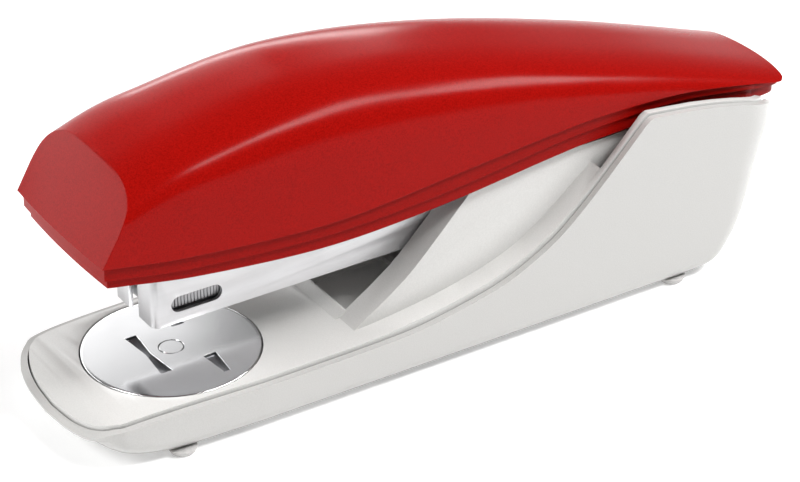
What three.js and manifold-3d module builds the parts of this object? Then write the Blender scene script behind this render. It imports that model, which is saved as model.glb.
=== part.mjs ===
// A full-strip desk stapler: moulded base and cover, steel magazine, turnable anvil.
// Millimetres, +Z up, the head towards -Y. The origin is on the desk, under the middle of the length.
import * as THREE from "three";
import { mergeVertices } from "three/addons/utils/BufferGeometryUtils.js";
import Module from "manifold-3d";

const wasm = await Module();
wasm.setup();

// ---- driving dimensions ----------------------------------------------------
const GAP = 0.3; // clearance between neighbouring pieces
const FAR = 100; // reaches past the whole object

const TRAY = 10.3; // height of the tray that the paper lies on
const BASE_FRONT = -79.7;
const BASE_REAR = 73;
const BASE_HALF_WIDTH = 20;
const BASE_BOTTOM = 1.5;
const SHELL_WALL = 1.35; // the base shell's rim, seen outside the liner
const LINER_WALL = 1.3;
const TRAY_THICKNESS = 2;
const FRONT_CORNER = 5;
const REAR_CORNER = 10;

const FIN_INNER = 8; // the two fins stand each side of the magazine
const FIN_OUTER = 13.7;
const FIN_TOP = 34.2;
const FIN_REAR = 33;
const WELL_FRONT = -21.5; // the well between the fins, under the magazine
const WELL_FLOOR = 8.3;

const COVER_REAR = 79;
const COVER_WALL = 1.8;
const FACET_Y = -74.1; // lower edge of the flat facet on the nose
const FACET_Z = 41.9;
const FACET_LEAN = 0.6; // how far the facet runs back for each millimetre up
const SHOULDER = 3.3; // exponent of the cover's section: 2 is an ellipse, more is squarer

const HINGE_Y = 65.5;
const HINGE_Z = 28;
const PIN_RADIUS = 1.8;
const PIN_HALF = 11.2;
const SWING_RADIUS = 15.6; // room behind the hinge for the cover's sides

const ANVIL_Y = -53.7;
const ANVIL_RADIUS = 16.6;
const ANVIL_THICKNESS = 2;
const STEM_RADIUS = 2.3;

const MAGAZINE_HALF = 7.5;
const MAGAZINE_WALL = 0.8;
const MAGAZINE_FLOOR = 20.1; // underside of the channel
const MAGAZINE_TOP = 30.1;
const MAGAZINE_FRONT = -60.7;
const MAGAZINE_REAR = 46;
const STAPLE_HALF = 6.45;
const STAPLE_LEG = 6;
const STAPLE_WIRE = 0.5;
const RAIL_TOP = 27.9;
const RAIL_HALF = 5.6;
const STRIP_LENGTH = 35;
const FOLLOWER_LENGTH = 8;
const ROD_Z = 24.2;

// ---- solids ------------------------------------------------------------------
function solidOf(geometry) {
  geometry.deleteAttribute("normal");
  geometry.deleteAttribute("uv");
  const merged = mergeVertices(geometry, 1e-4);
  return new wasm.Manifold(
    new wasm.Mesh({
      numProp: 3,
      vertProperties: merged.attributes.position.array,
      triVerts: new Uint32Array(merged.index.array),
    }),
  );
}

function geometryOf(solid) {
  const mesh = solid.getMesh();
  const geometry = new THREE.BufferGeometry();
  geometry.setAttribute("position", new THREE.BufferAttribute(mesh.vertProperties, 3));
  geometry.setIndex(new THREE.BufferAttribute(mesh.triVerts, 1));
  const flat = geometry.toNonIndexed();
  flat.computeVertexNormals();
  return flat;
}

const joined = (...solids) => solids.reduce((all, one) => all.add(one));
const common = (...solids) => solids.reduce((all, one) => all.intersect(one));

// A smooth curve through knots, and points along one.
const smooth = (knots) => new THREE.SplineCurve(knots.map(([u, v]) => new THREE.Vector2(u, v)));
const curve = (knots, pieces) => smooth(knots).getPoints(pieces).map((p) => [p.x, p.y]);

function extrusion(points, depth, basis) {
  const shape = new THREE.Shape(points.map(([u, v]) => new THREE.Vector2(u, v)));
  const geometry = new THREE.ExtrudeGeometry(shape, { depth, bevelEnabled: false });
  return geometry.applyMatrix4(basis);
}

// Outlines drawn in (y, z) and in (x, y), pushed along the third axis from one end to the other.
function alongX(points, from, to) {
  const basis = new THREE.Matrix4().set(0, 0, 1, from, 1, 0, 0, 0, 0, 1, 0, 0, 0, 0, 0, 1);
  return solidOf(extrusion(points, to - from, basis));
}

function alongZ(points, from, to) {
  return solidOf(extrusion(points, to - from, new THREE.Matrix4().makeTranslation(0, 0, from)));
}

function box([x0, y0, z0], [x1, y1, z1]) {
  const geometry = new THREE.BoxGeometry(x1 - x0, y1 - y0, z1 - z0);
  return solidOf(geometry.translate((x0 + x1) / 2, (y0 + y1) / 2, (z0 + z1) / 2));
}

// A rod along an axis, from one end to the other, through the point given by the other two values.
function rod(axis, radius, from, to, a, b, sides = 24) {
  const geometry = new THREE.CylinderGeometry(radius, radius, to - from, sides);
  const middle = (from + to) / 2;
  if (axis === "x") geometry.rotateZ(Math.PI / 2).translate(middle, a, b);
  if (axis === "y") geometry.translate(a, middle, b);
  if (axis === "z") geometry.rotateX(Math.PI / 2).translate(a, b, middle);
  return solidOf(geometry);
}

// A closed body through rings of equally many points.
function loft(rings) {
  const count = rings[0].length;
  const position = rings.flat(2);
  const index = [];
  for (let i = 0; i + 1 < rings.length; i++) {
    for (let j = 0; j < count; j++) {
      const a = i * count + j;
      const b = i * count + ((j + 1) % count);
      index.push(a, a + count, b, b, a + count, b + count);
    }
  }
  const lastRing = (rings.length - 1) * count;
  for (let j = 1; j + 1 < count; j++) {
    index.push(0, j, j + 1);
    index.push(lastRing, lastRing + j + 1, lastRing + j);
  }
  const geometry = new THREE.BufferGeometry();
  geometry.setAttribute("position", new THREE.Float32BufferAttribute(position, 3));
  geometry.setIndex(index);
  return solidOf(geometry);
}

// ---- the object, a node at a time ---------------------------------------------
const stapler = new THREE.Group();

function addPiece(name, solid, colour, roughness, metalness) {
  const material = new THREE.MeshStandardMaterial({ color: colour, roughness, metalness });
  const mesh = new THREE.Mesh(geometryOf(solid), material);
  mesh.name = name;
  stapler.add(mesh);
}

const lightPlastic = (name, solid) => addPiece(name, solid, 0xdedbd6, 0.4, 0);
const redPlastic = (name, solid) => addPiece(name, solid, 0xb80f08, 0.45, 0);
const brightSteel = (name, solid) => addPiece(name, solid, 0xc8c8ca, 0.25, 1);
const greySteel = (name, solid) => addPiece(name, solid, 0x9a9b9d, 0.45, 1);
const rubber = (name, solid) => addPiece(name, solid, 0x8d8b88, 0.9, 0);
const darkPlastic = (name, solid) => addPiece(name, solid, 0x3a3a3c, 0.6, 0);

// ---- base ----------------------------------------------------------------------
// A closed outline, counter-clockwise, moved inwards by an inset.
function drawnIn(points, inset) {
  const count = points.length;
  return points.map(([x, y], i) => {
    const [x0, y0] = points[(i + count - 1) % count];
    const [x1, y1] = points[(i + 1) % count];
    const before = new THREE.Vector2(x - x0, y - y0).normalize();
    const after = new THREE.Vector2(x1 - x, y1 - y).normalize();
    const reach = inset / (1 + before.dot(after));
    return [x - (before.y + after.y) * reach, y + (before.x + after.x) * reach];
  });
}

// An outline from its right half, which starts and ends on the middle plane.
function mirrored(right) {
  const left = right
    .slice(1, -1)
    .reverse()
    .map(([x, y]) => [-x, y]);
  return [...right, ...left];
}

// The front of the base's outline in plan, a shallow bow.
const nose = curve(
  [
    [0, BASE_FRONT],
    [8, BASE_FRONT + 0.6],
    [14.2, BASE_FRONT + 2.2],
    [17.6, BASE_FRONT + FRONT_CORNER],
    [19, BASE_FRONT + 10],
    [BASE_HALF_WIDTH, -45],
  ],
  20,
);

// How the rear leans in towards the desk, from the top down: height, rear wall, radius of its corners.
const REAR_LEVELS = [
  [FAR, BASE_REAR, REAR_CORNER],
  [30, BASE_REAR, REAR_CORNER],
  [26.5, 71.5, 9.4],
  [23, 69.7, 8.6],
  [15.5, 67, 7],
  [10, 64.8, 6],
  [5.5, 62.4, 6],
  [2.8, 60, 6],
  [BASE_BOTTOM, 57.4, 6],
  [-1, 57.4, 6],
];

// The base's body within its outline, drawn in by an inset.
function baseBody(inset, front = nose) {
  const corners = 8;
  const rings = REAR_LEVELS.map(([z, rear, radius]) => {
    const right = [...front];
    for (let i = 0; i <= corners; i++) {
      const turn = (i / corners) * (Math.PI / 2);
      const x = BASE_HALF_WIDTH - radius * (1 - Math.cos(turn));
      right.push([x, rear - radius * (1 - Math.sin(turn))]);
    }
    right.push([0, rear]);
    return drawnIn(mirrored(right), inset).map(([x, y]) => [x, y, z]);
  });
  return loft(rings);
}

// The side view of the base shell's rim, from the front edge, along the tray, up the sweep and down
// the rear.
const SHELL_RIM = [
  ...curve(
    [
      [BASE_FRONT - 1, 5.6],
      [-78.3, 6.5],
      [-75.5, 8.3],
      [-72, 9.2],
      [-62, 9.6],
      [-38, 9.5],
      [-16, 9.9],
      [-5, 11.3],
      [5.5, 13.6],
      [13, 16.7],
      [19.5, 20.6],
      [27.5, 27.6],
      [38.5, 38.6],
    ],
    34,
  ),
  ...curve(
    [
      [39.6, 39.2],
      [50.5, 37.9],
      [60.2, 36],
      [67.6, 33.8],
      [BASE_REAR + 1, 30.6],
    ],
    8,
  ),
];

const underside = curve(
  [
    [BASE_FRONT - 1, 4.8],
    [-77, 5.5],
    [-74, 4.3],
    [-69, 2.6],
    [-63, 1.7],
    [-57, BASE_BOTTOM],
  ],
  12,
);

// Everything in the base's side view below a top line.
function baseSide(top) {
  return alongX([...underside, [BASE_REAR + 1, BASE_BOTTOM], ...top.slice().reverse()], -FAR, FAR);
}

const raised = (line, by) => line.map(([y, z]) => [y, z + by]);

// Two slots in the rear wall let the cover's sides swing down when it opens.
const SLOT = { inner: 9.2, outer: 15.7 };
const slots = joined(
  rod("x", SWING_RADIUS, SLOT.inner, SLOT.outer, HINGE_Y, HINGE_Z, 40),
  rod("x", SWING_RADIUS, -SLOT.outer, -SLOT.inner, HINGE_Y, HINGE_Z, 40),
);

const shellOuter = common(baseBody(0), baseSide(SHELL_RIM));
lightPlastic("base_shell", shellOuter.subtract(baseBody(SHELL_WALL)).subtract(slots));

// The liner's tray: level at the front, sweeping up beside the fins.
const RAMP = curve(
  [
    [BASE_FRONT, 6.5],
    [-78, 7.3],
    [-75.5, 9],
    [-72, 9.9],
    [-62, TRAY],
    [-26, TRAY],
    [-13, 11.3],
    [-2, 13],
    [9, 16],
    [18, 20.6],
    [30, 30],
  ],
  30,
);
const linerBody = baseBody(SHELL_WALL + GAP);
const trayBand = [...RAMP, ...raised(RAMP, -TRAY_THICKNESS).reverse()];
const tray = common(linerBody, alongX(trayBand, -FAR, FAR));

const linerSide = common(linerBody, baseSide(raised(SHELL_RIM, 0.4)));
const openFront = [
  [0, -FAR],
  [BASE_HALF_WIDTH, -FAR],
];
const linerRing = linerSide
  .subtract(baseBody(SHELL_WALL + GAP + LINER_WALL, openFront))
  .subtract(box([-FAR, -FAR, -FAR], [FAR, FAR, 7]));

// Two fins stand on the tray. Behind them each runs on as a thinner wall, outside the chassis.
const FIN_FRONT = -24.2;
const FIN_FOOT = 8;
const FIN_WALL = { inner: 11.3, outer: 12.9, rear: 47, foot: 20 };
const finWall = [
  [FIN_WALL.inner, FIN_REAR - 1],
  [FIN_OUTER, FIN_REAR - 1],
  [FIN_OUTER, FIN_REAR],
  [FIN_WALL.outer, FIN_WALL.rear],
  [FIN_WALL.inner, FIN_WALL.rear],
];
const finWallMirror = finWall.map(([x, y]) => [-x, y]).reverse();
const finProfile = [
  ...curve(
    [
      [FIN_FRONT, 9.6],
      [-13, 16.8],
      [-6.4, 22.6],
      [3.9, 33],
    ],
    8,
  ),
  [18, FIN_TOP],
  [FIN_REAR, FIN_TOP],
  [FIN_REAR, FIN_FOOT],
  [FIN_FRONT, FIN_FOOT],
];
const fins = joined(
  alongX(finProfile, FIN_INNER, FIN_OUTER),
  alongX(finProfile, -FIN_OUTER, -FIN_INNER),
  alongZ(finWall, FIN_WALL.foot, FIN_TOP),
  alongZ(finWallMirror, FIN_WALL.foot, FIN_TOP),
);

// The well under the magazine starts behind a sloping lip. A floor with a rib across closes its front.
const WELL_OPEN = -1;
const WELL_UNDER = WELL_FLOOR - 1.5;
const wellReach = FIN_INNER + 0.5;
const well = box([-FIN_INNER, WELL_FRONT, 0], [FIN_INNER, FIN_REAR + 2, FAR]);
const wellLip = alongX(
  [
    [FIN_FRONT, WELL_UNDER],
    [WELL_FRONT + 0.4, WELL_UNDER],
    [WELL_FRONT + 0.4, TRAY + 1.1],
    [WELL_FRONT, TRAY + 1.1],
    [FIN_FRONT, TRAY - 0.1],
  ],
  -wellReach,
  wellReach,
);
const wellFloor = joined(
  wellLip,
  box([-wellReach, WELL_FRONT - 1, WELL_UNDER], [wellReach, WELL_OPEN, WELL_FLOOR]),
  box([-wellReach, WELL_OPEN - 2.2, WELL_UNDER], [wellReach, WELL_OPEN - 0.6, WELL_FLOOR + 0.9]),
);
const anvilSeat = rod("z", ANVIL_RADIUS + GAP + 0.9, TRAY - 4.2, TRAY - 0.6, 0, ANVIL_Y, 48);
const anvilHole = rod("z", ANVIL_RADIUS + GAP, TRAY - ANVIL_THICKNESS - GAP, FAR, 0, ANVIL_Y, 48);
const stemHole = rod("z", STEM_RADIUS + GAP, -FAR, FAR, 0, ANVIL_Y);
const liner = joined(tray, linerRing, fins, anvilSeat)
  .subtract(well)
  .subtract(anvilHole)
  .subtract(stemHole)
  .subtract(slots);
lightPlastic("base_liner", joined(liner, wellFloor));

// A plate closes the underside, following its upward curve at the front.
const PLATE_THICKNESS = 1.6;
const PLATE_FRONT = -75;
const PLATE_REAR = 54;
const BUTTON_RADIUS = 6;
const plateBand = [
  ...underside,
  [PLATE_REAR, BASE_BOTTOM],
  [PLATE_REAR, BASE_BOTTOM + PLATE_THICKNESS],
  ...raised(underside, PLATE_THICKNESS).reverse(),
];
const buttonHole = rod("z", BUTTON_RADIUS + GAP, -FAR, FAR, 0, ANVIL_Y, 32);
const bottomPlate = common(
  linerBody,
  alongX(plateBand, -FAR, FAR),
  box([-FAR, PLATE_FRONT, 0], [FAR, FAR, FAR]),
);
lightPlastic("bottom_plate", bottomPlate.subtract(buttonHole));

// Four rubber feet.
const FOOT = { x: 17.2, front: -61.2, rear: 47.6, radius: 2.7 };
for (const [end, y] of [["front", FOOT.front], ["rear", FOOT.rear]]) {
  for (const [side, x] of [["left", -FOOT.x], ["right", FOOT.x]]) {
    const height = BASE_BOTTOM - GAP;
    const foot = new THREE.CylinderGeometry(FOOT.radius, FOOT.radius - 0.4, height, 20);
    rubber(`foot_${end}_${side}`, solidOf(foot.rotateX(Math.PI / 2).translate(x, y, height / 2)));
  }
}

// ---- chassis: a bent steel plate that carries the hinge --------------------------
const CHASSIS_FLOOR = 3.5;
const SHEET = 1.2;
const EAR_INNER = 9.7;
const EAR_OUTER = EAR_INNER + SHEET;
const EAR_RADIUS = 3.3;
const EAR_FOOT_FRONT = 41;
const CHASSIS_FRONT = -61.5;

// The outline of an ear with a round end about the hinge, between two angles of the turn.
function ear(before, from, to, after) {
  const points = [...before];
  for (let i = 0; i <= 10; i++) {
    const turn = ((from + ((to - from) * i) / 10) * Math.PI) / 180;
    points.push([HINGE_Y + EAR_RADIUS * Math.cos(turn), HINGE_Z + EAR_RADIUS * Math.sin(turn)]);
  }
  return [...points, ...after];
}

const pinHole = rod("x", PIN_RADIUS + GAP, -FAR, FAR, HINGE_Y, HINGE_Z);
const chassisEar = ear([[PLATE_REAR, CHASSIS_FLOOR]], -45, 175, [[EAR_FOOT_FRONT, CHASSIS_FLOOR]]);
const chassis = joined(
  box([-EAR_OUTER, CHASSIS_FRONT, CHASSIS_FLOOR], [EAR_OUTER, PLATE_REAR, CHASSIS_FLOOR + SHEET]),
  alongX(chassisEar, EAR_INNER, EAR_OUTER),
  alongX(chassisEar, -EAR_OUTER, -EAR_INNER),
);
greySteel("chassis", chassis.subtract(pinHole).subtract(buttonHole));
brightSteel("hinge_pin", rod("x", PIN_RADIUS, -PIN_HALF, PIN_HALF, HINGE_Y, HINGE_Z));

// ---- anvil -------------------------------------------------------------------------
const GROOVE_DEPTH = 0.9;
const GROOVE_OFFSET = 4.7;
const CLOSED = { y: ANVIL_Y - GROOVE_OFFSET, half: 7, wide: 1.15, waist: 0.45 };
const OPEN = { y: ANVIL_Y + GROOVE_OFFSET, inner: 5.9, outer: 12.6, wide: 1.3, tip: 0.6 };

function groove(points) {
  return alongZ(points, TRAY - GROOVE_DEPTH, FAR);
}

const closedGroove = groove([
  [-CLOSED.half, CLOSED.y - CLOSED.wide],
  [0, CLOSED.y - CLOSED.waist],
  [CLOSED.half, CLOSED.y - CLOSED.wide],
  [CLOSED.half, CLOSED.y + CLOSED.wide],
  [0, CLOSED.y + CLOSED.waist],
  [-CLOSED.half, CLOSED.y + CLOSED.wide],
]);
const openOutline = [
  [OPEN.inner, OPEN.y - OPEN.wide],
  [OPEN.outer, OPEN.y - OPEN.tip],
  [OPEN.outer, OPEN.y + OPEN.tip],
  [OPEN.inner, OPEN.y + OPEN.wide],
];
const openMirror = openOutline.map(([x, y]) => [-x, y]).reverse();
const disc = rod("z", ANVIL_RADIUS, TRAY - ANVIL_THICKNESS, TRAY, 0, ANVIL_Y, 64);
brightSteel(
  "anvil_disc",
  disc
    .subtract(closedGroove)
    .subtract(groove(openOutline))
    .subtract(groove(openMirror))
    .subtract(stemHole),
);
const BUTTON_TOP = 3.2;
const STEM_FOOT = 1.7;
brightSteel("anvil_stem", rod("z", STEM_RADIUS, STEM_FOOT, TRAY, 0, ANVIL_Y));
const button = rod("z", BUTTON_RADIUS, STEM_FOOT, BUTTON_TOP, 0, ANVIL_Y, 32);
darkPlastic("anvil_button", button.subtract(stemHole));

// A coil spring's envelope: a plain sleeve of its outer and inner diameters.
function sleeve(axis, outer, inner, from, to, a, b) {
  return rod(axis, outer, from, to, a, b, 20).subtract(rod(axis, inner, from - 1, to + 1, a, b, 20));
}

greySteel("anvil_spring", sleeve("z", 4.4, 3.4, BUTTON_TOP + GAP, TRAY - 4.2 - GAP, 0, ANVIL_Y));

// ---- magazine -------------------------------------------------------------------------
const inside = MAGAZINE_HALF - MAGAZINE_WALL;
const floorTop = MAGAZINE_FLOOR + MAGAZINE_WALL;
const frontInside = MAGAZINE_FRONT + MAGAZINE_WALL;
const BLADE_THICKNESS = 0.6;
const BLADE_Y = frontInside + 0.45; // front face of the blade
const RAIL_FRONT = BLADE_Y + BLADE_THICKNESS + 0.4;
const FLANGE_INNER = 1.8; // the folded front stops short of the middle
const WINDOW = { front: -57, rear: -46.6, low: 22.3, high: 25.5 };

// A slot with round ends, in side view.
function obround({ front, rear, low, high }) {
  const radius = (high - low) / 2;
  const points = [];
  for (const [centre, start] of [[rear - radius, -90], [front + radius, 90]]) {
    for (let i = 0; i <= 8; i++) {
      const turn = ((start + i * 22.5) * Math.PI) / 180;
      points.push([centre + radius * Math.cos(turn), low + radius + radius * Math.sin(turn)]);
    }
  }
  return points;
}

const magazineEar = ear(
  [[MAGAZINE_REAR - 8, MAGAZINE_FLOOR], [MAGAZINE_REAR, MAGAZINE_FLOOR]],
  -110,
  100,
  [[MAGAZINE_REAR - 8, MAGAZINE_TOP]],
);
const channelBlock = box(
  [-MAGAZINE_HALF, MAGAZINE_FRONT, MAGAZINE_FLOOR],
  [MAGAZINE_HALF, MAGAZINE_REAR, MAGAZINE_TOP],
);
const channel = joined(
  channelBlock,
  alongX(magazineEar, -MAGAZINE_HALF, MAGAZINE_HALF),
)
  .subtract(box([-inside, frontInside, floorTop], [inside, FAR, FAR]))
  .subtract(box([-FLANGE_INNER, -FAR, 0], [FLANGE_INNER, frontInside + 1, FAR]))
  .subtract(box([-inside, frontInside, 0], [inside, RAIL_FRONT + 0.6, FAR]))
  .subtract(box([-inside, MAGAZINE_REAR, 0], [inside, FAR, FAR]))
  .subtract(alongX(obround(WINDOW), -FAR, FAR))
  .subtract(pinHole);
brightSteel("magazine_channel", channel);

// The rail is a square tube with a slot along its top for the follower.
const RAIL_WALL = 0.8;
const RAIL_REAR = 43;
const SLOT_HALF = 1.5;
const railBottom = floorTop + GAP;
const rail = box([-RAIL_HALF, RAIL_FRONT, railBottom], [RAIL_HALF, RAIL_REAR, RAIL_TOP])
  .subtract(
    box(
      [-RAIL_HALF + RAIL_WALL, RAIL_FRONT + 3, railBottom - 1],
      [RAIL_HALF - RAIL_WALL, FAR, RAIL_TOP - RAIL_WALL],
    ),
  )
  .subtract(box([-SLOT_HALF, -40, RAIL_TOP - 2], [SLOT_HALF, 38, FAR]));
greySteel("staple_rail", rail);

const stripTop = RAIL_TOP + GAP + STAPLE_WIRE;
const stripInner = STAPLE_HALF - STAPLE_WIRE;
const strip = box(
  [-STAPLE_HALF, RAIL_FRONT, stripTop - STAPLE_LEG],
  [STAPLE_HALF, RAIL_FRONT + STRIP_LENGTH, stripTop],
).subtract(box([-stripInner, -FAR, 0], [stripInner, FAR, RAIL_TOP + GAP]));
brightSteel("staple_strip", strip);

const ROD_RADIUS = 1;
const rodFront = RAIL_FRONT + 3 + GAP;
brightSteel("guide_rod", rod("y", ROD_RADIUS, rodFront, RAIL_REAR, 0, ROD_Z, 16));
const rodHole = rod("y", ROD_RADIUS + GAP, -FAR, FAR, 0, ROD_Z, 16);
const stop = box([-4.4, 40.4, railBottom + 0.2], [4.4, 42.4, RAIL_TOP - RAIL_WALL - GAP]);
darkPlastic("spring_stop", stop.subtract(rodHole));

const followerFront = RAIL_FRONT + STRIP_LENGTH + GAP;
const followerRear = followerFront + FOLLOWER_LENGTH;
const saddle = box(
  [-STAPLE_HALF, followerFront, RAIL_TOP - 4],
  [STAPLE_HALF, followerRear, RAIL_TOP + 1.6],
).subtract(box([-stripInner, -FAR, 0], [stripInner, FAR, RAIL_TOP + GAP]));
const tongue = box([-1.1, followerFront, 22], [1.1, followerRear, RAIL_TOP + 1]);
const carriage = box([-3.6, followerFront, 22], [3.6, followerRear, 26.4]);
darkPlastic("follower", joined(saddle, tongue, carriage).subtract(rodHole));
greySteel("follower_spring", sleeve("y", 2.8, 1.6, followerRear + GAP, 40.4 - GAP, 0, ROD_Z));

const LIFT_SPRING_Y = 22;
const liftFoot = CHASSIS_FLOOR + SHEET + GAP;
greySteel("lift_spring", sleeve("z", 5, 3.9, liftFoot, MAGAZINE_FLOOR - GAP, 0, LIFT_SPRING_Y));

// ---- cover ---------------------------------------------------------------------------------
// Along the cover: the height of its crown, how far the shoulders drop below it, and its half width.
const CROWN = smooth([
  [-78, 49.8],
  [-66.7, 54.8],
  [-53.2, 58.6],
  [-26.7, 61.5],
  [5.2, 57.1],
  [41.7, 46.9],
  [COVER_REAR, 34.2],
  [90, 30.8],
]);
const SHOULDER_DROP = smooth([
  [-78, 7.4],
  [-60, 9],
  [-45, 12.5],
  [-22, 15.2],
  [5, 13],
  [29, 9],
  [53, 6],
  [90, 3],
]);
const COVER_WIDTH = smooth([
  [-78, 16.5],
  [-50, 17.3],
  [-22, 17.9],
  [5, 17.5],
  [34, 16.7],
  [60, 15.3],
  [90, 13.6],
]);

// The value of a curve that runs along y, at one y.
function valueAt(line, y) {
  let low = 0;
  let high = 1;
  for (let i = 0; i < 30; i++) {
    const middle = (low + high) / 2;
    if (line.getPoint(middle).x < y) low = middle;
    else high = middle;
  }
  return line.getPoint(low).y;
}

const OUTER_BOTTOM = 20; // both lie below the cover's lower edge, which is cut afterwards
const INNER_BOTTOM = 10;

// The cover's body as stacked cross-sections, each a flat-bottomed arch, drawn in by an inset.
function coverBody(inset, bottom) {
  const stations = 26;
  const around = 14;
  const first = -77;
  const last = 84;
  const rings = [];
  for (let i = 0; i <= stations; i++) {
    const y = first + ((last - first) * i) / stations;
    const half = valueAt(COVER_WIDTH, y) - inset;
    const crown = valueAt(CROWN, y) - inset;
    const drop = valueAt(SHOULDER_DROP, y);
    const ring = [[half, bottom]];
    for (let j = 0; j <= 2 * around; j++) {
      const turn = (j / (2 * around)) * Math.PI;
      const across = Math.sign(Math.cos(turn)) * Math.abs(Math.cos(turn)) ** (2 / SHOULDER);
      const up = Math.sin(turn) ** (2 / SHOULDER);
      ring.push([half * across, crown - drop + drop * up]);
    }
    ring.push([-half, bottom]);
    rings.push(ring.map(([x, z]) => [x, y, z]));
  }
  return loft(rings);
}

// The cover's outline in plan, drawn in by an inset, and at the rear by a little more: a nearly
// straight nose and a shallow arc at the rear.
function coverPlan(inset, rearExtra = 0) {
  const rear = COVER_REAR - rearExtra;
  const right = [
    [0, FACET_Y - 0.5],
    [10, FACET_Y - 0.3],
    [16.3, FACET_Y],
  ];
  for (const y of [-68, -50, -32, -14, 4, 22, 40, 58]) {
    right.push([valueAt(COVER_WIDTH, y), y]);
  }
  const end = [
    [valueAt(COVER_WIDTH, 68), 68],
    [14.2, rear - 7.4],
    [12.8, rear - 2.8],
    [9.8, rear - 1.2],
    [0, rear],
  ];
  return drawnIn(mirrored([...right, ...curve(end, 10)]), inset);
}

// Side views of the cover's lower edge and of the two steps below it.
const EDGE = curve(
  [
    [-80, 42.6],
    [-72, 41.2],
    [-56, 38.9],
    [-30, 37.3],
    [-4.5, 39],
    [18, 40.6],
    [31, 41],
    [49, 39.8],
    [66, 36.3],
    [82, 31.9],
  ],
  24,
);
const STEP = curve(
  [
    [-80, 39.6],
    [-71, 38.3],
    [-56, 36],
    [-30, 34.5],
    [-4, 35.5],
    [19, 37.8],
    [31, 38.4],
    [49, 37.9],
    [66, 35],
    [82, 31.4],
  ],
  24,
);
const LIP = curve(
  [
    [-80, 37.6],
    [-71, 36.4],
    [-55, 33.7],
    [-30, 31.7],
    [-4, 32.6],
    [19, 34.7],
    [31, 35.4],
    [49, 35],
    [66, 32.2],
    [82, 30.4],
  ],
  24,
);
const above = (line) => [...line, [line[line.length - 1][0], FAR], [line[0][0], FAR]];
const between = (low, high) => [...low, ...high.slice().reverse()];

// The half space behind the nose facet, drawn in by an inset.
function behindFacet(inset) {
  const start = FACET_Y + inset * Math.hypot(1, FACET_LEAN);
  const at = (z) => start + FACET_LEAN * (z - FACET_Z);
  return alongX([[at(0), 0], [FAR, 0], [FAR, FAR], [at(FAR), FAR]], -FAR, FAR);
}

const coverOuter = common(coverBody(0, OUTER_BOTTOM), alongZ(coverPlan(0), 0, FAR), behindFacet(0));
const coverInner = (inset) =>
  common(coverBody(inset, INNER_BOTTOM), alongZ(coverPlan(inset), 0, FAR), behindFacet(inset));
const coverShell = common(coverOuter, alongX(above(EDGE), -FAR, FAR)).subtract(coverInner(COVER_WALL));
redPlastic("cover_shell", coverShell);

// The frame fills the cover's open underside with a stepped rim and an upstand inside the shell.
const UPSTAND = 3;
const RIM_STEP = 0.9;
const RIM_LIP = 1.7;
const RIM_INNER = 2.6;
const upperStep = common(
  alongZ(coverPlan(RIM_STEP, 0.4), 0, FAR),
  alongX(between(STEP, raised(EDGE, -GAP)), -FAR, FAR),
);
const lowerStep = common(
  alongZ(coverPlan(RIM_LIP, 1.1), 0, FAR),
  alongX(between(LIP, raised(STEP, 0.5)), -FAR, FAR),
);
const upstand = common(
  coverInner(COVER_WALL + GAP),
  alongX(between(LIP, raised(EDGE, UPSTAND)), -FAR, FAR),
);
const hollowRight = [[0, FACET_Y + 2]];
for (const y of [FACET_Y + 2, -50, -32, -14, 4, 22, 40, 58, 70]) {
  hollowRight.push([valueAt(COVER_WIDTH, y) - RIM_INNER, y]);
}
hollowRight.push([10.5, COVER_REAR - 5.8], [0, COVER_REAR - 5]);
const rimHollow = alongZ(mirrored(hollowRight), 0, FAR);

// The steel arm lies lengthwise in the cover and turns on the hinge pin.
const ARM_FRONT = RAIL_FRONT;
const ARM_WIDTH = 7.3;
const ARM_EAR_INNER = 8.1;
const ARM_EAR_OUTER = ARM_EAR_INNER + SHEET;
const ARM_TAB_TOP = 47;
const ARM_UNDER = { front: 38.2, rear: 32.8, end: 44 }; // heights of its underside at its two ends
const SHOULDER_UNDER = 32.9;
const ARM_SHOULDER = { front: 40, rear: 58 };
const RIVET = { x: 3.5, z: 43, hole: 1.3, radius: 1, head: 1.9, headThickness: 0.8 };
const armLine = [
  [ARM_FRONT, ARM_UNDER.front],
  [ARM_UNDER.end, ARM_UNDER.rear],
];
const armProfile = [...armLine, ...raised(armLine, SHEET).reverse()];
const armSlope = (ARM_UNDER.front - ARM_UNDER.rear) / (ARM_UNDER.end - ARM_FRONT);
const armTop = (y) => ARM_UNDER.front + SHEET - (y - ARM_FRONT) * armSlope;
const armShoulder = box(
  [-ARM_EAR_OUTER, ARM_SHOULDER.front, SHOULDER_UNDER],
  [ARM_EAR_OUTER, ARM_SHOULDER.rear, SHOULDER_UNDER + SHEET],
);
const armEar = ear([[42, SHOULDER_UNDER], [54, 29.6]], -110, 100, [[54, 34.1], [42, 34.1]]);
const rivetHoles = joined(
  rod("y", RIVET.hole, -FAR, FAR, -RIVET.x, RIVET.z, 16),
  rod("y", RIVET.hole, -FAR, FAR, RIVET.x, RIVET.z, 16),
);
const arm = joined(
  alongX(armProfile, -ARM_WIDTH, ARM_WIDTH),
  box([-6.3, ARM_FRONT, 38.4], [6.3, ARM_FRONT + SHEET, ARM_TAB_TOP]),
  armShoulder,
  alongX(armEar, ARM_EAR_INNER, ARM_EAR_OUTER),
  alongX(armEar, -ARM_EAR_OUTER, -ARM_EAR_INNER),
);
greySteel("cover_arm", arm.subtract(pinHole).subtract(rivetHoles));

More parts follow.
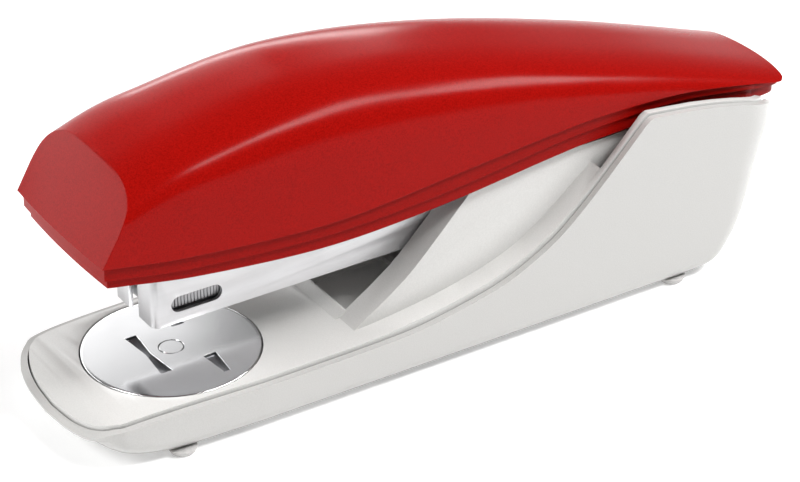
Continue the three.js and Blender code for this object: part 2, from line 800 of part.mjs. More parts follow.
const BLADE_HALF = 6.3;
const bladeFoot = stripTop + GAP;
const blade = box(
  [-BLADE_HALF, BLADE_Y, bladeFoot],
  [BLADE_HALF, BLADE_Y + BLADE_THICKNESS, ARM_TAB_TOP],
);
brightSteel("driver_blade", blade.subtract(rivetHoles));
for (const [side, x] of [["left", -RIVET.x], ["right", RIVET.x]]) {
  const front = BLADE_Y - GAP;
  const rear = ARM_FRONT + SHEET + GAP;
  const tip = front - RIVET.headThickness;
  const end = rear + RIVET.headThickness;
  const rivet = joined(
    rod("y", RIVET.radius, tip, end, x, RIVET.z, 16),
    rod("y", RIVET.head, tip, front, x, RIVET.z, 16),
    rod("y", RIVET.head, rear, end, x, RIVET.z, 16),
  );
  greySteel(`blade_rivet_${side}`, rivet);
}

// Ribs across the frame rest on the arm, one near the head and one behind the fins.
const RIB = 1.6;
const RIB_HEIGHT = 3;
const RIB_REACH = 16;
const RIB_FRONTS = [-42, 52];
const ribs = RIB_FRONTS.map((y) => {
  const foot = Math.max(armTop(y), SHOULDER_UNDER + SHEET) + GAP;
  return box([-RIB_REACH, y, foot], [RIB_REACH, y + RIB, foot + RIB_HEIGHT]);
});
const frame = joined(upperStep, lowerStep, upstand).subtract(rimHollow);
const ribsInside = common(joined(...ribs), coverInner(COVER_WALL + GAP));
redPlastic("cover_frame", joined(frame, ribsInside));

// A bowed leaf spring holds the cover up off the magazine.
const LEAF_FRONT = -30;
const LEAF_REAR = 10;
const LEAF_HALF = 7;
const LEAF_THICKNESS = 0.5;
const leafUnder = curve(
  [
    [LEAF_FRONT, MAGAZINE_TOP + GAP],
    [-20, 32.6],
    [-10, 34.2],
    [0, 32.6],
    [LEAF_REAR, MAGAZINE_TOP + GAP],
  ],
  16,
);
const leaf = [...leafUnder, ...raised(leafUnder, LEAF_THICKNESS).reverse()];
greySteel("cover_spring", alongX(leaf, -LEAF_HALF, LEAF_HALF));

export default stapler;
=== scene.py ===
import math

import bmesh
import bpy
import numpy as np
from mathutils import Matrix, Vector


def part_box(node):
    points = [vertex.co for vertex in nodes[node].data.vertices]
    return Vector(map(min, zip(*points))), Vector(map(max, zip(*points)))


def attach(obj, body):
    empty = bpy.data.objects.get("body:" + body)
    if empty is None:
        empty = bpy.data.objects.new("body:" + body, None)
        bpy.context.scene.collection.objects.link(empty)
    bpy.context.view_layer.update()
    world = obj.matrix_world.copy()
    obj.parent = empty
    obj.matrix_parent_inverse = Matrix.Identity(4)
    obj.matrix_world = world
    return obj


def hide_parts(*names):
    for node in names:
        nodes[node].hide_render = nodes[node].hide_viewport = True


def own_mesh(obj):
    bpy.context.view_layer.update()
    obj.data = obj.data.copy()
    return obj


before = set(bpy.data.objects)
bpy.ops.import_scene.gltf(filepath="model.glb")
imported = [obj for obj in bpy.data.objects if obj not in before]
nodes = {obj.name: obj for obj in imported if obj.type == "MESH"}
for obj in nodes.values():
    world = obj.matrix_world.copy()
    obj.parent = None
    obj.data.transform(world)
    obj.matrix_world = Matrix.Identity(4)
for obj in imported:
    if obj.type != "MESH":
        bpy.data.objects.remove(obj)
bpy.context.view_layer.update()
scene = bpy.context.scene
MM = 0.001

# ---- dimensions, in millimetres, shared with the CAD model -----------------------------------
TRAY = 10.3
BASE_FRONT, BASE_REAR, BASE_HALF, BASE_BOTTOM = -79.7, 73.0, 20.0, 1.5
SHELL_WALL = 1.35
COVER_REAR = 79.0
COVER_BEND_Y, COVER_BEND_X = 68, 14.5  # where the cover's sides turn into its rear
FACET_Y, FACET_Z, FACET_LEAN = -74.1, 41.9, 0.6
COVER_WALL = 1.8
LEAN_REACH, CURL_REACH = 34, 26  # how far the front facet's lean and the rear's curve reach along the cover
FOOT_BOW = 0.6  # how far the foot of the nose bows out in plan
SHOULDER = 3.3
ANVIL_Y, ANVIL_RADIUS = -53.7, 16.6
RAIL_FRONT = -58.45
ARM_TOP_FRONT, ARM_FALL = 39.4, 0.0527  # the cover arm's top at the rail's front, and its fall rearward
ARM_SHOULDER_TOP = 34.1
RIB_GAP, RIB_HEIGHT, RIB_THICKNESS = 0.3, 3, 1.6
HINGE_Y, HINGE_Z = 65.5, 28
SLOT_RADIUS, SLOT_INNER, SLOT_OUTER = 15.6, 9.2, 15.7
GROOVE_OFFSET, GROOVE_DEPTH, GROOVE_END_DEPTH = 4.7, 0.75, 0.3
FOOT_X, FOOT_FRONT, FOOT_REAR = 17.2, -61.2, 47.6


def spline(knots, count=600):
    """A Catmull-Rom curve through the knots, as arrays of its two coordinates."""
    p = np.array(knots, float)
    n = len(p)
    t = np.linspace(0, n - 1, count)
    i = np.minimum(t.astype(int), n - 2)
    w = (t - i)[:, None]
    p0, p1, p2, p3 = p[np.maximum(i - 1, 0)], p[i], p[i + 1], p[np.minimum(i + 2, n - 1)]
    v0, v1 = (p2 - p0) / 2, (p3 - p1) / 2
    a = (2 * p1 - 2 * p2 + v0 + v1) * w**3 + (-3 * p1 + 3 * p2 - 2 * v0 - v1) * w**2 + v0 * w + p1
    return a


def along(*curves):
    """A function of y from curves whose first coordinate is y."""
    a = np.concatenate([spline(c) for c in curves])
    return lambda y: np.interp(y, a[:, 0], a[:, 1])


crown = along([(-78, 49.8), (-66.7, 54.8), (-53.2, 58.6), (-26.7, 61.5), (5.2, 57.1), (41.7, 46.9),
               (COVER_REAR, 34.2), (90, 30.8)])
drop = along([(-78, 7.4), (-60, 9), (-45, 12.5), (-22, 15.2), (5, 13), (29, 9), (53, 6), (90, 3)])
width = along([(-78, 16.5), (-50, 17.3), (-22, 17.9), (5, 17.5), (34, 16.7), (60, 15.3), (90, 13.6)])
edge_line = along([(-80, 42.6), (-72, 41.2), (-56, 38.9), (-30, 37.3), (-4.5, 39), (18, 40.6), (31, 41),
                   (49, 39.8), (66, 36.3), (82, 31.9)])
step_line = along([(-80, 39.6), (-71, 38.3), (-56, 36), (-30, 34.5), (-4, 35.5), (19, 37.8), (31, 38.4),
                   (49, 37.9), (66, 35), (82, 31.4)])
lip_line = along([(-80, 37.6), (-71, 36.4), (-55, 33.7), (-30, 31.7), (-4, 32.6), (19, 34.7), (31, 35.4),
                  (49, 35), (66, 32.2), (82, 30.4)])
shell_rim = along(
    [(BASE_FRONT - 1, 5.6), (-78.3, 6.5), (-75.5, 8.3), (-72, 9.2), (-62, 9.6), (-38, 9.5), (-16, 9.9),
     (-5, 11.3), (5.5, 13.6), (13, 16.7), (19.5, 20.6), (27.5, 27.6), (38.5, 38.6)],
    [(39.6, 39.2), (50.5, 37.9), (60.2, 36), (67.6, 33.8), (BASE_REAR + 1, 30.6)])
underside = along([(BASE_FRONT - 1, 4.8), (-77, 5.5), (-74, 4.3), (-69, 2.6), (-63, 1.7), (-57, BASE_BOTTOM)])


# ---- materials ---------------------------------------------------------------------------------
def new_material(name):
    material = bpy.data.materials.new(name)
    material.use_nodes = True
    return material, material.node_tree, material.node_tree.nodes["Principled BSDF"]


def position(tree, scale=(1, 1, 1)):
    """Object coordinates, stretched."""
    coordinate = tree.nodes.new("ShaderNodeTexCoord")
    mapping = tree.nodes.new("ShaderNodeMapping")
    mapping.inputs["Scale"].default_value = scale
    tree.links.new(coordinate.outputs["Object"], mapping.inputs["Vector"])
    return mapping.outputs["Vector"]


def noise(tree, vector, scale, detail=2.0, roughness=0.5):
    n = tree.nodes.new("ShaderNodeTexNoise")
    n.inputs["Scale"].default_value = scale
    n.inputs["Detail"].default_value = detail
    n.inputs["Roughness"].default_value = roughness
    tree.links.new(vector, n.inputs["Vector"])
    return n.outputs["Fac"]


def ramp(tree, value, low, high, a, b):
    """A colour or grey between a and b as the value goes from low to high."""
    r = tree.nodes.new("ShaderNodeValToRGB")
    r.color_ramp.elements[0].position = low
    r.color_ramp.elements[1].position = high
    r.color_ramp.elements[0].color = a if len(a) == 4 else (*a, 1)
    r.color_ramp.elements[1].color = b if len(b) == 4 else (*b, 1)
    tree.links.new(value, r.inputs["Fac"])
    return r.outputs["Color"]


def level(tree, value, low, high):
    """The value, from 0..1, mapped to low..high."""
    m = tree.nodes.new("ShaderNodeMapRange")
    m.inputs["To Min"].default_value = low
    m.inputs["To Max"].default_value = high
    tree.links.new(value, m.inputs["Value"])
    return m.outputs["Result"]


def bump(tree, shader, *layers):
    """Stacked bumps: (height, strength, distance in millimetres)."""
    last = None
    for height, strength, distance in layers:
        b = tree.nodes.new("ShaderNodeBump")
        b.inputs["Strength"].default_value = strength
        b.inputs["Distance"].default_value = distance * MM
        tree.links.new(height, b.inputs["Height"])
        if last:
            tree.links.new(last, b.inputs["Normal"])
        last = b.outputs["Normal"]
    tree.links.new(last, shader.inputs["Normal"])


def moulded_plastic(name, dark, light, rough, grain, speckle, coat=0.0, shine=0.5):
    """Moulded plastic with a fine spark-eroded grain, cloudy colour and uneven gloss."""
    material, tree, shader = new_material(name)
    place = position(tree)
    fine = noise(tree, place, grain, 3.0, 0.6)
    cloud = noise(tree, place, 55, 3.0)
    spread = 0.12 / speckle
    colour = ramp(tree, fine, 0.5 - spread, 0.5 + spread, dark, light)
    tree.links.new(colour, shader.inputs["Base Color"])
    tree.links.new(level(tree, cloud, rough - 0.03, rough + 0.05), shader.inputs["Roughness"])
    shader.inputs["Specular IOR Level"].default_value = shine
    shader.inputs["Coat Weight"].default_value = coat
    shader.inputs["Coat Roughness"].default_value = 0.12
    bump(tree, shader, (fine, 0.25, 0.02), (cloud, 0.05, 0.05))
    return material


def metal(name, colour, rough, stretch=(1, 1, 1), grain=900, depth=0.1, fade=0.86, metallic=1.0):
    """Metal with fine drawn or rolled lines along the axis that isn't stretched."""
    material, tree, shader = new_material(name)
    lines = noise(tree, position(tree, stretch), grain, 4.0, 0.65)
    smear = noise(tree, position(tree), 120, 3.0)
    dark = tuple(fade * c for c in colour)
    tree.links.new(ramp(tree, lines, 0.3, 0.7, dark, colour), shader.inputs["Base Color"])
    tree.links.new(level(tree, smear, rough * 0.8, rough * 1.3), shader.inputs["Roughness"])
    shader.inputs["Metallic"].default_value = metallic
    bump(tree, shader, (lines, depth, 0.01))
    return material


LIGHT = moulded_plastic(
    "base_plastic_look", (0.445, 0.44, 0.427), (0.495, 0.49, 0.476), 0.30, 4200, 0.6, 0.15)
LINER = moulded_plastic(
    "liner_plastic_look", (0.55, 0.545, 0.53), (0.61, 0.605, 0.588), 0.28, 4200, 0.6, 0.15)
RED = moulded_plastic(
    "cover_plastic_look", (0.215, 0.0018, 0.0009), (0.32, 0.0036, 0.0021), 0.2, 3600, 0.8, 0, 0.07)
RIM_RED = moulded_plastic(
    "cover_rim_look", (0.20, 0.0018, 0.0009), (0.285, 0.0034, 0.0019), 0.3, 3600, 0.8, 0, 0.06)
NICKEL = metal("magazine_nickel_look", (0.64, 0.64, 0.65), 0.4, (1, 0.04, 1), 700, 0.03, 0.95, 0.8)
MIRROR = metal("mirror_steel_look", (0.76, 0.76, 0.77), 0.15, (1, 1, 1), 300, 0.003, 0.98)
# Steel for the anvil's grooves: its dark colour is painted shade in the recesses, and its higher roughness is
# the stamped metal's.
GROOVE_SHADE = metal("groove_shade_steel_look", (0.30, 0.30, 0.31), 0.32, (1, 1, 1), 900, 0.1)
BRIGHT = metal("bright_steel_look", (0.72, 0.72, 0.74), 0.2, (1, 1, 0.05), 900, 0.08)
GREY = metal("grey_steel_look", (0.52, 0.53, 0.55), 0.36, (1, 0.1, 1), 800, 0.12)
SPRING = metal("spring_steel_look", (0.48, 0.49, 0.5), 0.28, (1, 1, 1), 900, 0.1)
# Staple wire, darker than bare steel: painted shade for the staple strip lying inside the magazine.
SHADED_WIRE = metal("staple_wire_shaded_look", (0.32, 0.32, 0.33), 0.3, (1, 1, 1), 900, 0.06)
RUBBER = moulded_plastic("foot_rubber_look", (0.44, 0.43, 0.42), (0.52, 0.51, 0.50), 0.62, 3000, 0.8)
BLACK = moulded_plastic("dark_plastic_look", (0.018, 0.018, 0.02), (0.03, 0.03, 0.033), 0.45, 3000, 0.8)


# ---- mesh helpers ------------------------------------------------------------------------------
def piece(name, verts, faces, body, material, node_names=(), bevel=None, segments=3, sharp=30):
    """A new piece from millimetre points. Edges sharper than an angle stay crisp, or are rounded by bevel."""
    mesh = bpy.data.meshes.new(name)
    points = [tuple(float(c) * MM for c in v) for v in verts]
    mesh.from_pydata(points, [], [tuple(map(int, f)) for f in faces])
    b = bmesh.new()
    b.from_mesh(mesh)
    bmesh.ops.remove_doubles(b, verts=b.verts, dist=1e-6)
    bmesh.ops.recalc_face_normals(b, faces=b.faces)
    b.to_mesh(mesh)
    b.free()
    obj = bpy.data.objects.new(name, mesh)
    scene.collection.objects.link(obj)
    obj.data.materials.append(material)
    finish_edges(obj, bevel, segments, sharp)
    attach(obj, body)
    if node_names:
        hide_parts(*node_names)
    return obj


def round_edges(obj, bevel, segments, sharp):
    m = obj.modifiers.new("edges", "BEVEL")
    m.width = bevel * MM
    m.segments = segments
    m.limit_method = "ANGLE"
    m.angle_limit = math.radians(sharp)
    m.harden_normals = True


def finish_edges(obj, bevel=None, segments=3, sharp=30):
    """Rounds the edges sharper than an angle, or leaves them crisp, and shades the rest smooth."""
    mesh = obj.data
    for poly in mesh.polygons:
        poly.use_smooth = True
    if bevel:
        round_edges(obj, bevel, segments, sharp)
    else:
        b = bmesh.new()
        b.from_mesh(mesh)
        for e in b.edges:
            if len(e.link_faces) == 2 and e.calc_face_angle(0) > math.radians(sharp):
                e.smooth = False
        b.to_mesh(mesh)
        b.free()


def cad_look(node, material, bevel=0.2, segments=2, sharp=28):
    """A CAD node keeps its shape, with its flats merged, its edges rounded and its own material."""
    obj = nodes[node]
    obj.data.materials.clear()
    obj.data.materials.append(material)
    weld = obj.modifiers.new("weld", "WELD")
    weld.merge_threshold = 0.002 * MM
    flat = obj.modifiers.new("flats", "DECIMATE")
    flat.decimate_type = "DISSOLVE"
    flat.angle_limit = math.radians(0.6)
    round_edges(obj, bevel, segments, sharp)
    for poly in obj.data.polygons:
        poly.use_smooth = True


# ---- the cover -----------------------------------------------------------------------------------
TURN = np.linspace(0, math.pi / 2, 260)
ACROSS, UP = np.cos(TURN) ** (2 / SHOULDER), np.sin(TURN) ** (2 / SHOULDER)

REAR_ARC = spline([(14.75, COVER_BEND_Y), (14.2, COVER_REAR - 7.4), (12.8, COVER_REAR - 2.8),
                   (9.8, COVER_REAR - 1.2), (0, COVER_REAR), (-9.8, COVER_REAR - 1.2)])
REAR_ARC = REAR_ARC[REAR_ARC[:, 0] >= 0][::-1]


def rear_y(x):
    return np.interp(x, REAR_ARC[:, 0], REAR_ARC[:, 1])


def section_point(y, share, inset):
    """A point of the cover's half section at y. Its share runs from the lower edge up to the crown."""
    half, top, fall = width(y) - inset, crown(y) - inset, drop(y)
    low = edge_line(y)
    x, z = half * ACROSS, top - fall + fall * UP
    s = np.concatenate([[0], np.cumsum(np.hypot(np.diff(x), np.diff(z)))])
    upright = max(0.0, top - fall - low)
    start = np.interp(low, z, s)
    reach = share * (upright + s[-1] - start)
    if reach < upright:
        return float(half), float(low + reach)
    at = start + reach - upright
    return float(np.interp(at, s, x)), float(np.interp(at, s, z))


def ease(v):
    v = min(max(v, 0), 1)
    return v * v * (3 - 2 * v)


def cover_skin(inset):
    """The cover's skin, open underneath: a grid wrapped over, its facet in front and its wall at the rear.
    Returns points, faces and the loop of points round its lower edge."""
    cap = 20
    shares = np.concatenate(
        [np.linspace(0, 0.3, 8)[:-1], np.linspace(0.3, 0.75, 22)[:-1], np.linspace(0.75, 1, 9)])
    front = FACET_Y + inset * math.hypot(1, FACET_LEAN)
    rear = COVER_REAR - inset
    length = rear - front
    stations = np.concatenate(
        [np.linspace(0, 12, 12), np.linspace(12, 118, 76)[1:], np.linspace(118, length, 30)[1:]])
    rings = []
    for d in stations:
        lean = FACET_LEAN * (1 - ease(d / LEAN_REACH))
        curl = ease((d - length + CURL_REACH) / CURL_REACH)
        ring = []
        for share in shares:
            y = front + d
            x, z = section_point(y, share, inset)
            for _ in range(14 if lean or curl else 0):
                shift = lean * (z - FACET_Z) + curl * (rear_y(min(x, COVER_BEND_X)) - COVER_REAR)
                y = 0.4 * y + 0.6 * (front + d + shift)
                x, z = section_point(y, share, inset)
            ring.append((x, y, z))
        rings.append(ring)
    rows, count = len(shares), len(stations)
    points, index = [], {}

    def at(key, p):
        if key not in index:
            index[key] = len(points)
            points.append(p)
        return index[key]

    def skin(k, j, sign):
        x, y, z = rings[k][j]
        if j == rows - 1:
            return at(("top", k), (0, y, z))
        return at(("side", k, j, sign), (sign * x, y, z))

    def facet(j, c):
        x, y, z = rings[0][j]
        if c == 0 or j == rows - 1:
            return skin(0, j, 1)
        if c == cap:
            return skin(0, j, -1)
        u = 1 - 2 * c / cap
        return at(("facet", j, c), (x * u, y - FOOT_BOW * (1 - u * u) * (1 - shares[j]), z))

    def under(j, sign):
        x, y, z = rings[-1][j]
        if j == 0:
            return skin(count - 1, 0, sign)
        if j == rows - 1:
            x, sign = 0, 1
        return at(("under", j, sign), (sign * x, y, min(z, float(edge_line(y)))))

    faces = []
    for k in range(count - 1):
        for j in range(rows - 1):
            for sign in (1, -1):
                q = [skin(k, j, sign), skin(k + 1, j, sign), skin(k + 1, j + 1, sign), skin(k, j + 1, sign)]
                faces.append(q[::sign])
    for j in range(rows - 1):
        for c in range(cap):
            faces.append([facet(j, c), facet(j + 1, c), facet(j + 1, c + 1), facet(j, c + 1)])
        for sign in (1, -1):
            q = [skin(count - 1, j, sign), under(j, sign), under(j + 1, sign), skin(count - 1, j + 1, sign)]
            faces.append(q[::sign])
    faces = [[v for i, v in enumerate(q) if v != q[i - 1]] for q in faces]
    faces = [q for q in faces if len(set(q)) > 2]
    loop = [skin(k, 0, 1) for k in range(count)]
    loop += [under(j, 1) for j in range(1, rows)] + [under(j, -1) for j in range(rows - 2, 0, -1)]
    loop += [skin(k, 0, -1) for k in reversed(range(count))]
    loop += [facet(0, c) for c in range(cap - 1, 0, -1)]
    return points, faces, loop


outer, outer_faces, outer_loop = cover_skin(0)
inner, inner_faces, inner_loop = cover_skin(COVER_WALL)
shift = len(outer)
faces = outer_faces + [[v + shift for v in f][::-1] for f in inner_faces]
for i in range(len(outer_loop)):
    a, b = outer_loop[i - 1], outer_loop[i]
    c, d = inner_loop[i] + shift, inner_loop[i - 1] + shift
    faces.append((b, a, d, c))
piece("cover_dome", outer + inner, faces, "cover", RED, ["cover_shell"], 0.3, 3, 26)


def swept_rim(name, outline, rows, body, material, replaced, bevel):
    """A ring round an outline. The rows are (inset, height function) round its closed section, and
    outline(inset, height) gives the same number of points for each."""
    points, faces = [], []
    for inset, height in rows:
        points.extend(outline(inset, height))
    n = len(points) // len(rows)
    for r in range(len(rows)):
        nxt = (r + 1) % len(rows)
        for i in range(n):
            k = (i + 1) % n
            faces.append((r * n + i, r * n + k, nxt * n + k, nxt * n + i))
    return piece(name, points, faces, body, material, replaced, bevel, 2)


def cover_outline(inset, height):
    """The cover's plan, drawn in, from the nose's middle round the near side, rear and far side."""
    front = FACET_Y - 0.4 + inset
    half = width(FACET_Y) - inset - 0.1
    right = [(x, front - FOOT_BOW * (1 - (x / half) ** 2)) for x in np.linspace(0, half, 12)]
    for y in np.linspace(front, COVER_BEND_Y, 110)[1:]:
        right.append((float(width(y)) - inset, y))
    arc = REAR_ARC[::-1]
    narrower, shorter = 1 - inset / COVER_BEND_X, 1 - inset / (COVER_REAR - COVER_BEND_Y)
    for x, y in arc[:: max(1, len(arc) // 24)][1:]:
        right.append((x * narrower, COVER_BEND_Y + (y - COVER_BEND_Y) * shorter))
    right.append((0, COVER_BEND_Y + (COVER_REAR - COVER_BEND_Y) * shorter))
    ring = right + [(-x, y) for x, y in right[-2:0:-1]]
    return [(x, y, float(height(y))) for x, y in ring]


def shelf(y):
    """The rim's ledge, which the cover's edge sits on."""
    return edge_line(y) - 0.25


def upstand(y):
    """The top of the rim's upstand, inside the cover's wall, lower near the facet and under the low rear."""
    room = np.interp(y, [-74, -66, 44, 58, 66], [0, 2.6, 2.6, 1.2, 0])
    return shelf(y) + room


# How far in from the cover's side each upright face of the rim is.
RIM_UPPER, RIM_LOWER, RIM_UPSTAND, RIM_INSIDE = 0.9, 1.7, 2.1, 2.6
swept_rim(
    "cover_rim", cover_outline,
    [(RIM_UPSTAND, upstand), (RIM_UPSTAND, shelf), (RIM_UPPER, shelf), (RIM_UPPER, step_line),
     (RIM_LOWER, step_line), (RIM_LOWER, lip_line), (RIM_INSIDE, lip_line), (RIM_INSIDE, upstand)],
    "cover", RIM_RED, ["cover_frame"], 0.35)


def arm_top(y):
    return ARM_TOP_FRONT - (y - RAIL_FRONT) * ARM_FALL


def gusset(name, y, half, inner):
    """A rib across the cover, cut away underneath near each end, with a step in its top."""
    low = max(arm_top(y), ARM_SHOULDER_TOP) + RIB_GAP
    high = low + RIB_HEIGHT
    step = 0.8
    right = [(inner - 0.6, low), (inner, low + step), (half, low + step), (half, high), (half - 3, high),
             (half - 4, high - step)]
    outline = right + [(-x, z) for x, z in right[::-1]]
    n = len(outline)
    verts = [(x, y + d, z) for d in (0, RIB_THICKNESS) for x, z in outline]
    faces = [tuple(range(n)), tuple(range(2 * n - 1, n - 1, -1))]
    faces += [(i, (i + 1) % n, n + (i + 1) % n, n + i) for i in range(n)]
    piece(name, verts, faces, "cover", RIM_RED, (), 0.2, 2)


gusset("cover_rib_front", -42, 14.6, 12.5)
gusset("cover_rib_rear", 52, 13.2, 11)


def carved(obj, cutters, sharp):
    """The object with the cutters taken out of it, as its own new mesh."""
    made = []
    for verts, faces in cutters:
        mesh = bpy.data.meshes.new("cutter")
        mesh.from_pydata([tuple(float(v) * MM for v in p) for p in verts], [], faces)
        b = bmesh.new()
        b.from_mesh(mesh)
        bmesh.ops.recalc_face_normals(b, faces=b.faces)
        bmesh.ops.triangulate(b, faces=b.faces)
        b.to_mesh(mesh)
        b.free()
        tool = bpy.data.objects.new("cutter", mesh)
        scene.collection.objects.link(tool)
        m = obj.modifiers.new("cut", "BOOLEAN")
        m.operation, m.solver, m.object = "DIFFERENCE", "EXACT", tool
        made.append(tool)
    bpy.context.view_layer.update()
    mesh = bpy.data.meshes.new_from_object(obj.evaluated_get(bpy.context.evaluated_depsgraph_get()))
    obj.modifiers.clear()
    obj.data = mesh
    for tool in made:
        bpy.data.objects.remove(tool)
    finish_edges(obj, None, 1, sharp)


# ---- the base shell -------------------------------------------------------------------------------
# Heights, each with how far back the rear wall is and the radius of the corner there.
REAR_LEVELS = np.array([
    (-1, 57.4, 6), (BASE_BOTTOM, 57.4, 6), (2.8, 60, 6), (5.5, 62.4, 6), (10, 64.8, 6), (15.5, 67, 7),
    (23, 69.7, 8.6), (26.5, 71.5, 9.4), (30, BASE_REAR, 10), (100, BASE_REAR, 10)])
BOW = spline([(0, BASE_FRONT), (8, BASE_FRONT + 0.6), (14.2, BASE_FRONT + 2.2), (17.6, BASE_FRONT + 5),
              (19, BASE_FRONT + 10), (BASE_HALF, -45)], 400)


def even(points, step):
    """A polyline with points about a step apart."""
    p = np.array(points, float)
    s = np.concatenate([[0], np.cumsum(np.hypot(*np.diff(p, axis=0).T))])
    at = np.linspace(0, s[-1], max(2, int(round(s[-1] / step)) + 1))
    return np.stack([np.interp(at, s, p[:, 0]), np.interp(at, s, p[:, 1])], 1)


BOW = even(BOW, 0.9)
SIDE_STEPS, CORNER_STEPS, REAR_STEPS = 126, 20, 9


def base_outline(inset, height):
    """The base's plan at the height that each point has, drawn in: the bow, sides and rear corners."""
    right = []
    for i, (x, y) in enumerate(BOW):
        a, b = BOW[max(i - 1, 0)], BOW[min(i + 1, len(BOW) - 1)]
        t = (b - a) / np.hypot(*(b - a))
        if i == 0:
            t = np.array([1.0, 0.0])
        right.append((x - inset * t[1], y + inset * t[0]))
    corner = []
    for turn in np.linspace(0, math.pi / 2, CORNER_STEPS + 1):
        y = 66.0
        for _ in range(30):
            z = float(height(y))
            rear = np.interp(z, REAR_LEVELS[:, 0], REAR_LEVELS[:, 1])
            radius = np.interp(z, REAR_LEVELS[:, 0], REAR_LEVELS[:, 2])
            x = BASE_HALF - radius + (radius - inset) * math.cos(turn)
            y = 0.5 * y + 0.5 * (rear - radius + (radius - inset) * math.sin(turn))
        corner.append((x, y))
    start, end = right[-1][1], corner[0][1]
    right += [(BASE_HALF - inset, start + (end - start) * k / SIDE_STEPS) for k in range(1, SIDE_STEPS)]
    right += corner
    x, y = corner[-1]
    right += [(x * (1 - k / REAR_STEPS), y) for k in range(1, REAR_STEPS)] + [(0, y)]
    ring = [(x, y, float(height(y))) for x, y in right]
    return ring + [(-x, y, z) for x, y, z in ring[-2:0:-1]]


ROLL = 2.4  # the radius of the shell's lower edge


def rolled(turn):
    """A height on the rounded lower edge: turn runs from 0, flat underneath, to 1, upright."""
    rise = ROLL * (1 - math.cos(turn * math.pi / 2))
    return lambda y: underside(y) + min(rise, 0.6 * (shell_rim(y) - underside(y)))


def upper(share):
    """A height between the rounded lower edge and the rim."""
    start = rolled(1)
    return lambda y: start(y) + (shell_rim(y) - start(y)) * share


heights = [0.12, 0.25, 0.4, 0.55, 0.7, 0.82, 0.92, 1.0]
rows = [(ROLL * (1 - math.sin(t * math.pi / 2)), rolled(t)) for t in (0, 0.17, 0.34, 0.5, 0.67, 0.84, 1)]
rows += [(0, upper(s)) for s in heights]
rows += [(SHELL_WALL, upper(s)) for s in heights[::-1]] + [(SHELL_WALL, rolled(0))]


def slot_cutter(inner, outer):
    """A round cutter about the hinge: the room that a side of the cover swings through."""
    sides = 96
    turns = np.linspace(0, 2 * math.pi, sides, endpoint=False)
    ring = [(HINGE_Y + SLOT_RADIUS * math.cos(t), HINGE_Z + SLOT_RADIUS * math.sin(t)) for t in turns]
    verts = [(x, y, z) for x in (inner, outer) for y, z in ring]
    faces = [tuple(range(sides)), tuple(range(2 * sides - 1, sides - 1, -1))]
    return verts, faces + [(i, (i + 1) % sides, sides + (i + 1) % sides, sides + i) for i in range(sides)]


shell = swept_rim("base_shell_skin", base_outline, rows, "base", LIGHT, ["base_shell"], 0.35)
carved(shell, [slot_cutter(SLOT_INNER, SLOT_OUTER), slot_cutter(-SLOT_OUTER, -SLOT_INNER)], 30)


# ---- turned pieces, springs and staples --------------------------------------------------------------
def lathe(name, profile, centre, axis, body, material, node_names, sides=64, sharp=30):
    """A solid turned about an axis through centre. The profile is (radius, distance along the axis)."""
    cx, cy, cz = centre
    verts, faces, rings = [], [], []
    for r, s in profile:
        ring = []
        for i in range(sides if r > 0 else 1):
            t = 2 * math.pi * i / sides
            u, v = r * math.cos(t), r * math.sin(t)
            ring.append(len(verts))
            verts.append({"x": (cx + s, cy + u, cz + v), "y": (cx + u, cy + s, cz + v),
                          "z": (cx + u, cy + v, cz + s)}[axis])
        rings.append(ring)
    for one, two in zip(rings, rings[1:] + rings[:1]):
        for i in range(sides):
            q = [ring[k % len(ring)] for ring, k in ((one, i), (one, i + 1), (two, i + 1), (two, i))]
            q = [v for k, v in enumerate(q) if v != q[k - 1]]
            if len(set(q)) > 2:
                faces.append(q)
    return piece(name, verts, faces, body, material, node_names, None, 1, sharp)


def coil(name, node, centre, axis, radius, wire, start, end, turns, body):
    """A compression spring: a wire wound about an axis, its end turns closed up."""
    steps, around = int(turns * 28), 10
    verts, faces = [], []
    length = end - start - wire
    for i in range(steps + 1):
        share = i / steps
        t = 2 * math.pi * turns * share
        closed, low = 0.9 / turns, 0.9 * wire / length
        lift = np.interp(share, [0, closed, 1 - closed, 1], [0, low, 1 - low, 1])
        s = start + wire / 2 + length * float(lift)
        for k in range(around):
            a = 2 * math.pi * k / around
            r = radius + wire / 2 * math.cos(a)
            u, v, w = r * math.cos(t), r * math.sin(t), s + wire / 2 * math.sin(a)
            p = (u, v, w) if axis == "z" else (u, w, v)
            verts.append(tuple(c + q for c, q in zip(centre, p)))
    for i in range(steps):
        for k in range(around):
            n = (k + 1) % around
            faces.append((i * around + k, i * around + n, (i + 1) * around + n, (i + 1) * around + k))
    faces += [tuple(range(around)), tuple(steps * around + k for k in reversed(range(around)))]
    obj = piece(name, verts, faces, body, SPRING, [node], None, 1, 40)
    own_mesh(obj)


coil("anvil_coil", "anvil_spring", (0, ANVIL_Y, 0), "z", 3.9, 0.5, 3.5, 5.8, 2.6,
     "base")
coil("lift_coil", "lift_spring", (0, 22, 0), "z", 4.45, 0.8, 5.0, 19.8, 6.5,
     "base")


